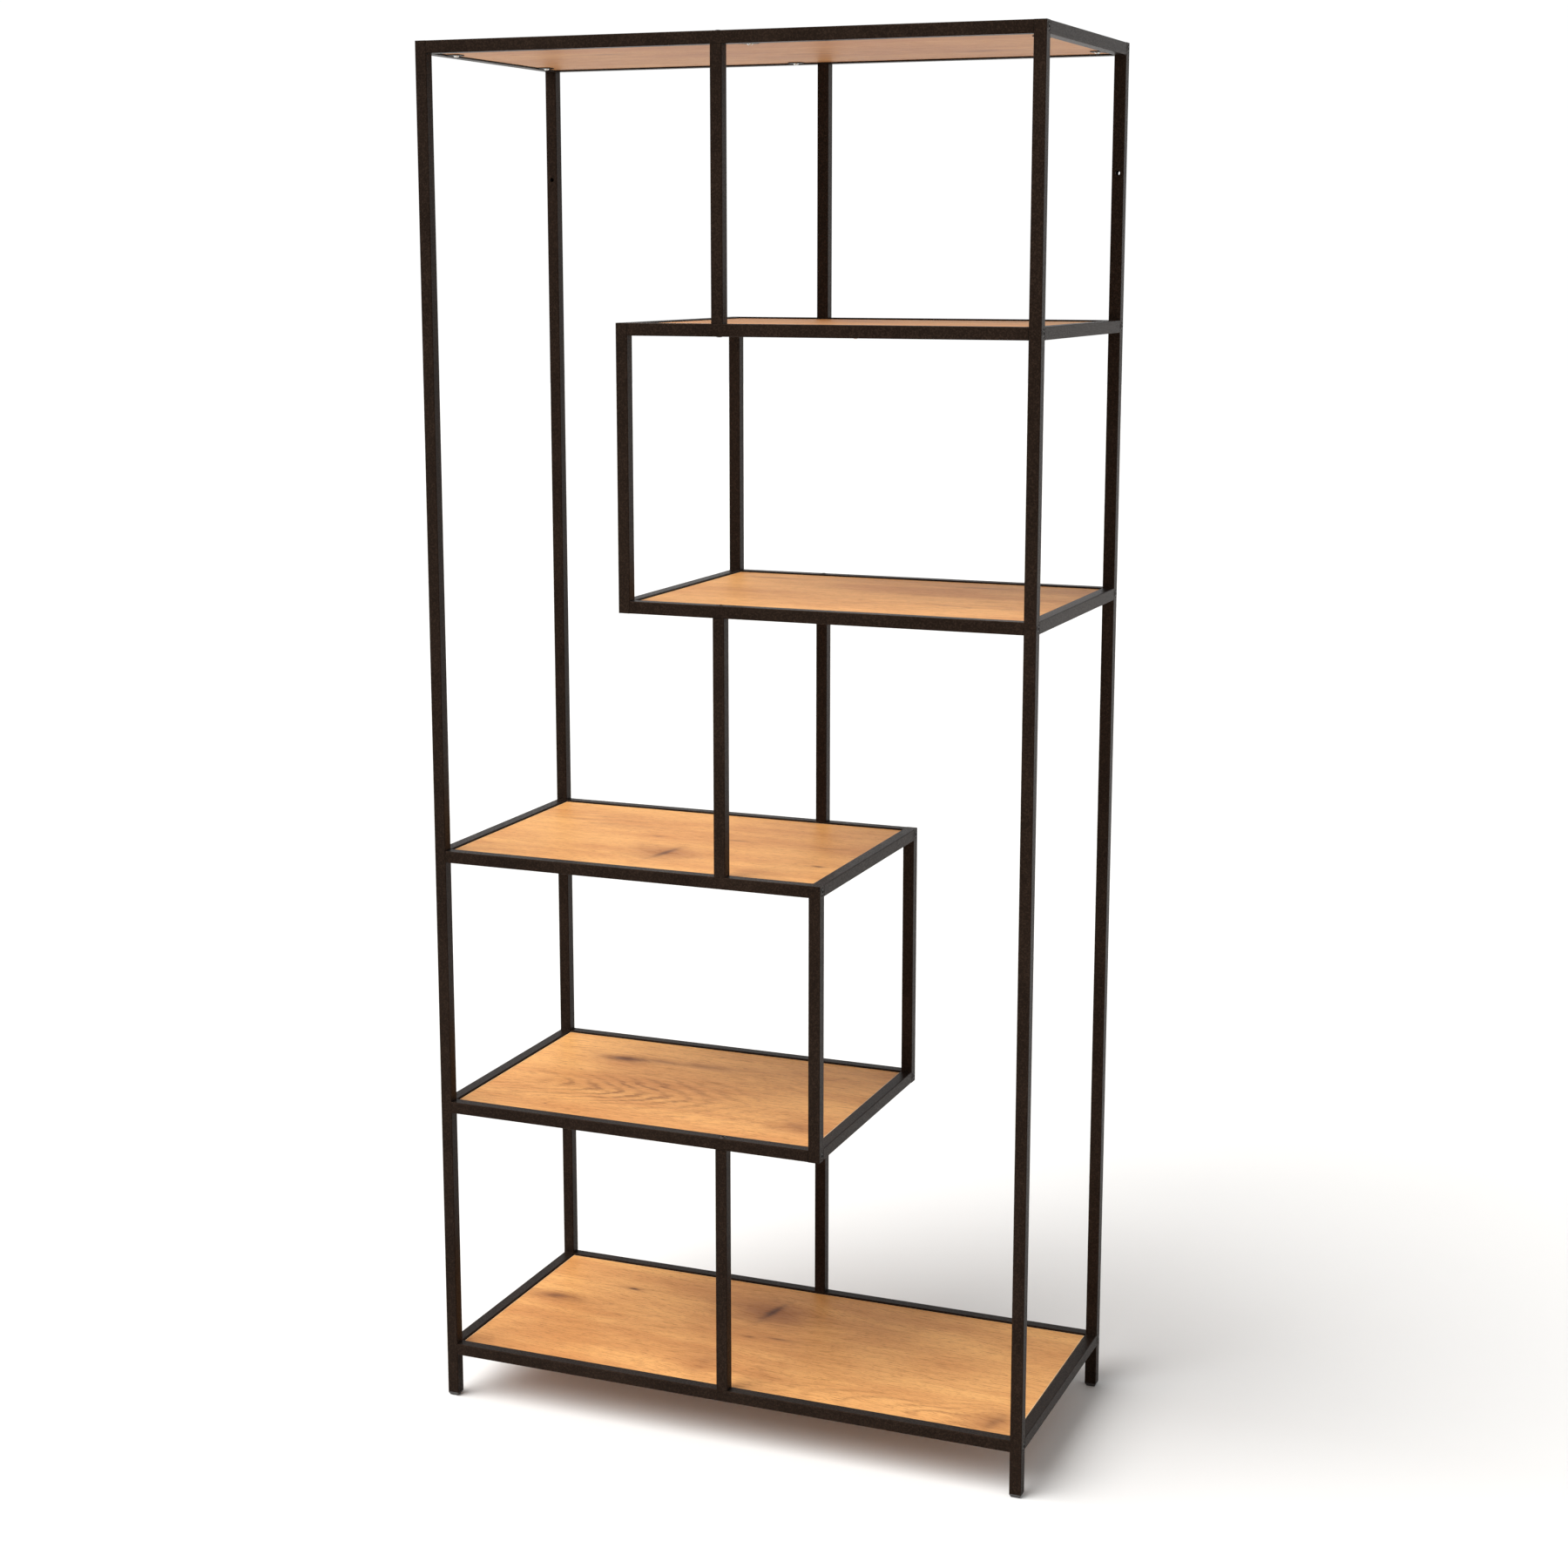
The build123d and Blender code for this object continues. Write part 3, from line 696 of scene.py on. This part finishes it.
def run_tree(name, tree, points, edges, outward, values, finish):
    """Runs a tree on a carrier of points and edges, and leaves a plain mesh that rides on the body."""
    carrier = bpy.data.meshes.new(f"{name}_carrier")
    carrier.from_pydata(points, edges, [])
    if outward:
        attribute = carrier.attributes.new("outward", "FLOAT_VECTOR", "POINT")
        for item, direction in zip(attribute.data, outward):
            item.vector = direction
    holder = bpy.data.objects.new(f"{name}_carrier", carrier)
    bpy.context.scene.collection.objects.link(holder)
    modifier = holder.modifiers.new("build", "NODES")
    modifier.node_group = tree
    inputs = [item for item in tree.interface.items_tree if item.in_out == "INPUT"]
    identifiers = {item.name: item.identifier for item in inputs}
    for label, value in values.items():
        modifier[identifiers[label]] = value
    modifier[identifiers["Finish"]] = FINISHES[finish]
    mesh = bpy.data.meshes.new_from_object(holder.evaluated_get(bpy.context.evaluated_depsgraph_get()))
    holder.modifiers.remove(modifier)
    bpy.data.objects.remove(holder)
    if not mesh.polygons:
        raise RuntimeError(f"{name} came out empty")
    mesh.name = name
    return add_piece(name, mesh, finish)


def add_piece(name, mesh, finish):
    """Links a finished mesh as a piece that rides on the body."""
    piece = bpy.data.objects.new(name, mesh)
    bpy.context.scene.collection.objects.link(piece)
    if FINISHES[finish].name not in [m.name for m in mesh.materials if m]:
        mesh.materials.clear()
        mesh.materials.append(FINISHES[finish])
    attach(piece, BODY)
    return piece


# ------------------------------------------------------------------ operators
class BOOKCASE_OT_finishes(bpy.types.Operator):
    """Make every finish and give the frame, boards and inner fittings theirs"""

    bl_idname = "bookcase.finishes"
    bl_label = "Finishes"

    def execute(self, context):
        make_finishes()
        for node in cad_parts:
            if node.startswith("board_tabs_"):
                dress(node, "coat")
            elif node == "board_edgings":
                dress(node, "edging")
            elif node in ("bolt_sleeves", "threaded_inserts", "board_screws"):
                dress(node, "steel")
            elif node.startswith("board_"):
                dress(node, f"oak_{node.removeprefix('board_')}")
            elif node.endswith("_bolts"):
                dress(node, "bolt")
            else:
                dress(node, "coat")
        return {"FINISHED"}


class BOOKCASE_OT_bolts(bpy.types.Operator):
    """Set a button-head bolt in every bolted joint"""

    bl_idname = "bookcase.bolts"
    bl_label = "Frame bolts"

    def execute(self, context):
        sizes = context.scene.bookcase_sizes
        values = {
            "Head Diameter": sizes.bolt_head,
            "Head Proud": sizes.bolt_head_proud,
            "Head Sunk": sizes.bolt_head_sunk,
            "Socket": sizes.bolt_socket,
            "Socket Depth": sizes.bolt_socket_depth,
        }
        tree = bolt_tree()
        groups = {
            "side_frame_bolts": side_bolt_spots("left", -1) + side_bolt_spots("right", 1),
            "box_frame_bolts": side_bolt_spots("upper_box", -1) + side_bolt_spots("lower_box", 1),
            "centre_post_bolts": centre_bolt_spots(),
        }
        for node, spots in groups.items():
            points, outward = zip(*spots)
            heads = run_tree(f"{node}_heads", tree, points, [], outward, values, "bolt")
            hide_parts(node)
        return {"FINISHED"}


class BOOKCASE_OT_screws(bpy.types.Operator):
    """Set a pan-head screw in every board tab"""

    bl_idname = "bookcase.screws"
    bl_label = "Board screws"

    def execute(self, context):
        sizes = context.scene.bookcase_sizes
        down = Vector((0, 0, -1))
        points = [
            spot + inward * sizes.tab_screw_reach + down * sizes.tab_thickness
            for level in LEVELS
            for spot, inward in tab_spots(level)
        ]
        values = {
            "Head Diameter": sizes.screw_head,
            "Head Height": sizes.screw_head_height,
            "Recess": sizes.screw_recess,
            "Recess Width": sizes.screw_recess_width,
            "Recess Depth": sizes.screw_recess_depth,
        }
        outward = [down] * len(points)
        heads = run_tree(
            "board_screw_heads", screw_tree(), points, [], outward, values, "zinc"
        )
        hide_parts("board_screws")
        return {"FINISHED"}


class BOOKCASE_OT_welds(bpy.types.Operator):
    """Lay fillet beads where side rails meet their posts and tabs meet their rails"""

    bl_idname = "bookcase.welds"
    bl_label = "Weld beads"

    def execute(self, context):
        sizes = context.scene.bookcase_sizes
        points, edges = [], []

        def seam(start, end):
            edges.append((len(points), len(points) + 1))
            points.extend((start, end))

        inset = sizes.tube_corner
        for side in ("left", "right", "upper_box", "lower_box"):
            post_low, post_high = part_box(f"{side}_front_post")
            for rail in side_levels(side):
                low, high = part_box(rail)
                for y in (low.y, high.y):
                    for z in (low.z, high.z):
                        if post_low.z + inset < z < post_high.z - inset:
                            seam(Vector((low.x + inset, y, z)), Vector((high.x - inset, y, z)))
        for level in LEVELS:
            for spot, inward in tab_spots(level):
                along = Vector((-inward.y, inward.x, 0)) * sizes.tab_width / 2
                under = spot - Vector((0, 0, sizes.tab_thickness))
                seam(under - along, under + along)
        values = {"Bead Radius": sizes.bead_radius, "Ripple": sizes.bead_pitch}
        run_tree("weld_beads", weld_tree(), points, edges, [], values, "coat")
        return {"FINISHED"}


def rounded_square(half, radius, z, centre_x, centre_y, steps=5):
    """Points of a rounded square at height z, anticlockwise from the right."""
    ring = []
    for quarter in range(4):
        turn = quarter * math.pi / 2
        corner = Vector((half - radius, half - radius))
        for step in range(steps + 1):
            angle = step / steps * math.pi / 2
            point = corner + radius * Vector((math.cos(angle), math.sin(angle)))
            ring.append((
                centre_x + point.x * math.cos(turn) - point.y * math.sin(turn),
                centre_y + point.x * math.sin(turn) + point.y * math.cos(turn),
                z,
            ))
    return ring


class BOOKCASE_OT_glides(bpy.types.Operator):
    """Put a bevelled plastic glide under each corner post"""

    bl_idname = "bookcase.glides"
    bl_label = "Foot glides"

    def execute(self, context):
        sizes = context.scene.bookcase_sizes
        half = TUBE / 2
        lip = 0.25 * MM
        corner = sizes.tube_corner
        sole_half = half - sizes.glide_bevel_in
        levels = (
            (sole_half - 2 * lip, corner * 0.5, 0.0),
            (sole_half, corner * 0.6, lip),
            (half - lip, corner, sizes.glide_bevel_height - lip),
            (half, corner, sizes.glide_bevel_height + lip),
            (half, corner, sizes.glide_height - 2 * lip),
            (half - lip, corner, sizes.glide_height - lip),
            (half - lip, corner, sizes.glide_height),
        )
        build = bmesh.new()
        for side in ("left", "right"):
            for row in ROWS:
                post = centre(f"{side}_{row}_post")
                rings = []
                for ring_half, radius, z in levels:
                    points = rounded_square(ring_half, radius, z, post.x, post.y)
                    rings.append([build.verts.new(point) for point in points])
                count = len(rings[0])
                for lower, upper in zip(rings, rings[1:]):
                    for here in range(count):
                        after = (here + 1) % count
                        build.faces.new((lower[here], lower[after], upper[after], upper[here]))
                build.faces.new(list(reversed(rings[0])))
                build.faces.new(rings[-1])
        bmesh.ops.recalc_face_normals(build, faces=build.faces)
        mesh = bpy.data.meshes.new("foot_glide_plugs")
        build.to_mesh(mesh)
        build.free()
        glides = add_piece("foot_glide_plugs", mesh, "plastic")
        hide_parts("foot_glides")
        return {"FINISHED"}


class BOOKCASE_OT_stage(bpy.types.Operator):
    """Lay the floor, hang the soft lights and set the camera"""

    bl_idname = "bookcase.stage"
    bl_label = "Stage"

    def execute(self, context):
        stage = context.scene.bookcase_stage
        colours = context.scene.bookcase_colours
        self.lay_floor(tuple(colours.floor), stage.floor_radius)
        self.light_room(stage)
        self.set_camera(stage)
        context.scene.view_settings.view_transform = "Standard"
        return {"FINISHED"}

    def lay_floor(self, colour, radius):
        build = bmesh.new()
        bmesh.ops.create_circle(build, cap_ends=True, segments=96, radius=radius)
        mesh = bpy.data.meshes.new("floor")
        build.to_mesh(mesh)
        build.free()
        floor = bpy.data.objects.new("floor", mesh)
        bpy.context.scene.collection.objects.link(floor)
        material, graph, shader, coords = new_material("plain_floor")
        shader.inputs["Base Color"].default_value = (*colour, 1.0)
        graph.feed(shader.inputs["Roughness"], graph.ramp(graph.noise(coords, 3.0), 0.3, 0.7, 0.75, 0.85))
        mesh.materials.append(material)

    def light_room(self, stage):
        world = bpy.data.worlds.new("white_room")
        world.use_nodes = True
        graph = Graph(world.node_tree)
        background = world.node_tree.nodes["Background"]
        background.inputs["Color"].default_value = (1.0, 1.0, 1.0, 1.0)
        direction = graph.node("ShaderNodeTexCoord").outputs["Generated"]
        rise = graph.node("ShaderNodeSeparateXYZ", inputs={"Vector": direction}).outputs["Z"]
        brightness = graph.ramp(rise, 0.20, 0.62, stage.horizon, stage.ceiling)
        graph.feed(background.inputs["Strength"], brightness)
        bpy.context.scene.world = world
        data = bpy.data.lights.new("broad_soft_light", "SUN")
        data.energy = stage.soft_sun
        data.angle = stage.soft_sun_spread
        lamp = bpy.data.objects.new("broad_soft_light", data)
        lamp.rotation_euler = (math.pi / 2 - stage.soft_sun_height, 0.0, -stage.soft_sun_side)
        bpy.context.scene.collection.objects.link(lamp)

    def set_camera(self, stage):
        data = bpy.data.cameras.new("camera")
        data.sensor_width = stage.sensor
        data.lens = stage.lens
        data.shift_y = stage.lens_shift
        camera = bpy.data.objects.new("camera", data)
        camera.location = stage.eye
        camera.rotation_euler = (math.pi / 2 - stage.pitch, 0.0, stage.heading)
        bpy.context.scene.collection.objects.link(camera)
        bpy.context.scene.camera = camera


class BOOKCASE_PT_panel(bpy.types.Panel):
    """Builders and values of the bookcase"""

    bl_label = "Bookcase"
    bl_idname = "BOOKCASE_PT_panel"
    bl_space_type = "VIEW_3D"
    bl_region_type = "UI"
    bl_category = "Bookcase"

    def draw(self, context):
        for operator in OPERATORS:
            self.layout.operator(operator.bl_idname)
        scene = context.scene
        for values in (scene.bookcase_sizes, scene.bookcase_colours, scene.bookcase_stage):
            box = self.layout.box()
            for name in values.__annotations__:
                box.prop(values, name)


OPERATORS = (
    BOOKCASE_OT_finishes,
    BOOKCASE_OT_bolts,
    BOOKCASE_OT_screws,
    BOOKCASE_OT_welds,
    BOOKCASE_OT_glides,
    BOOKCASE_OT_stage,
)
CLASSES = (BookcaseSizes, BookcaseColours, BookcaseStage, *OPERATORS, BOOKCASE_PT_panel)


def register():
    for item in CLASSES:
        bpy.utils.register_class(item)
    bpy.types.Scene.bookcase_sizes = PointerProperty(type=BookcaseSizes)
    bpy.types.Scene.bookcase_colours = PointerProperty(type=BookcaseColours)
    bpy.types.Scene.bookcase_stage = PointerProperty(type=BookcaseStage)


def unregister():
    del bpy.types.Scene.bookcase_stage
    del bpy.types.Scene.bookcase_colours
    del bpy.types.Scene.bookcase_sizes
    for item in reversed(CLASSES):
        bpy.utils.unregister_class(item)


def main():
    register()
    bpy.ops.bookcase.finishes()
    bpy.ops.bookcase.bolts()
    bpy.ops.bookcase.screws()
    bpy.ops.bookcase.welds()
    bpy.ops.bookcase.glides()
    bpy.ops.bookcase.stage()


if __name__ == "__main__":
    main()
